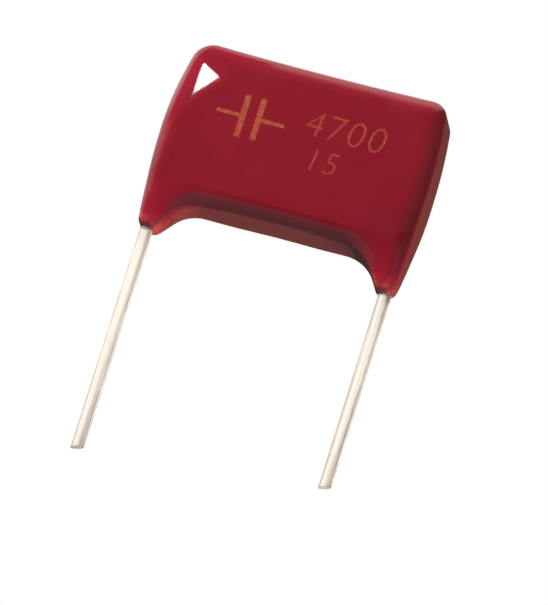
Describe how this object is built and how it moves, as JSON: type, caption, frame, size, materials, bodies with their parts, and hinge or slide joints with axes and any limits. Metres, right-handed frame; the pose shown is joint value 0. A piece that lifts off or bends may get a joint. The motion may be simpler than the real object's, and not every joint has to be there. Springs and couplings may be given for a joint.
{
  "type": "dipped film capacitor",
  "caption": "Dipped metallised film capacitor: glossy dark red resin body with an arched underside, on straight tinned leads at 15 mm pitch.",
  "frame": {"origin": "midway between the two leads, on the plane that the coating's two legs stand on, which is the board's top face", "axes": "+Z from the board up through the body, so the leads run along -Z; +X from the longer lead to the shorter one; +Y from the front face to the back"},
  "size_m": [0.0166, 0.0047, 0.0262],
  "materials": {
    "coating": "gloss",
    "film": "satin",
    "end_spray": "matte",
    "lead_wire": "satin"
  },
  "bodies": {
    "root": {"coating": "coating", "winding": "film", "end_contact_left": "end_spray", "end_contact_right": "end_spray", "lead_left": "lead_wire", "lead_right": "lead_wire"}
  },
  "joints": []
}
